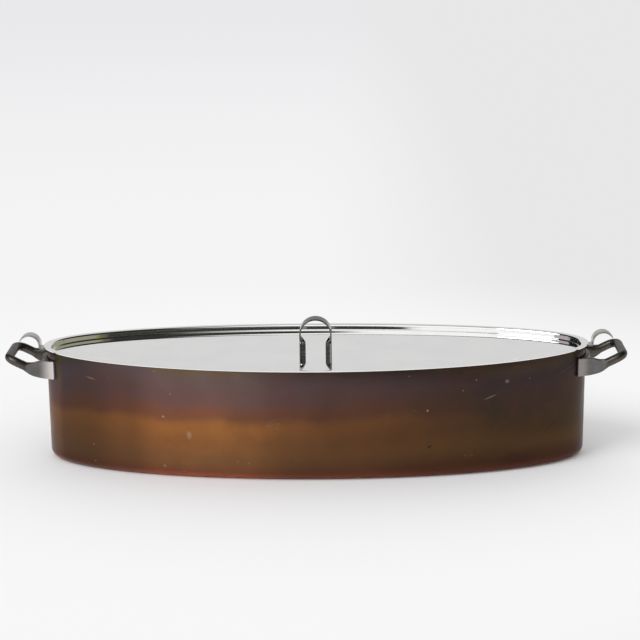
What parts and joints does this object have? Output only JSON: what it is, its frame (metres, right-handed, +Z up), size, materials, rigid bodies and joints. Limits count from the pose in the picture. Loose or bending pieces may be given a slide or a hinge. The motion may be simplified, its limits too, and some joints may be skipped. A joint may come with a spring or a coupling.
{
  "type": "fish kettle",
  "caption": "Oval copper fish kettle with cast end handles, a lift-out perforated rack hung on straps over the rim, and a polished sunken steel lid with an arch handle.",
  "frame": {"origin": "middle of the base, on the surface the kettle stands on", "axes": "+X along the long side towards the right handle, +Z up, the picture looks along +Y"},
  "size_m": [0.6356, 0.177, 0.1459],
  "materials": {
    "copper": "sheet copper darkened by heat and handling to brown, purple and orange, satin, with fine scratches",
    "lining_steel": "fine brushed stainless steel lining",
    "cast_iron": "dark cast metal, rubbed to a satin grey on the flat palms",
    "polished_steel": "mirror polished stainless steel",
    "satin_steel": "satin stainless steel",
    "dark_steel": "satin steel strip, darker",
    "rivet_copper": "hammered copper rivets"
  },
  "bodies": {
    "kettle": {"copper_shell": "copper", "steel_lining": "lining_steel", "left_handle": "cast_iron", "right_handle": "cast_iron", "left_handle_rivet_1": "rivet_copper", "left_handle_rivet_2": "rivet_copper", "left_handle_rivet_3": "rivet_copper", "left_handle_rivet_4": "rivet_copper", "right_handle_rivet_1": "rivet_copper", "right_handle_rivet_2": "rivet_copper", "right_handle_rivet_3": "rivet_copper", "right_handle_rivet_4": "rivet_copper"},
    "rack": {"rack_plate": "satin_steel", "left_rack_strap": "satin_steel", "right_rack_strap": "satin_steel", "left_strap_rivet_1": "satin_steel", "left_strap_rivet_2": "satin_steel", "right_strap_rivet_1": "satin_steel", "right_strap_rivet_2": "satin_steel"},
    "lid": {"lid_pan": "polished_steel", "lid_handle": "dark_steel", "left_handle_backing": "satin_steel", "right_handle_backing": "satin_steel"}
  },
  "joints": [
    {"name": "rack_lift", "type": "slide", "parent": "kettle", "child": "rack", "axis": [0, 0, 1], "range_m": [0, 0.14]},
    {"name": "lid_lift", "type": "slide", "parent": "rack", "child": "lid", "axis": [0, 0, 1], "range_m": [0, 0.1]}
  ]
}
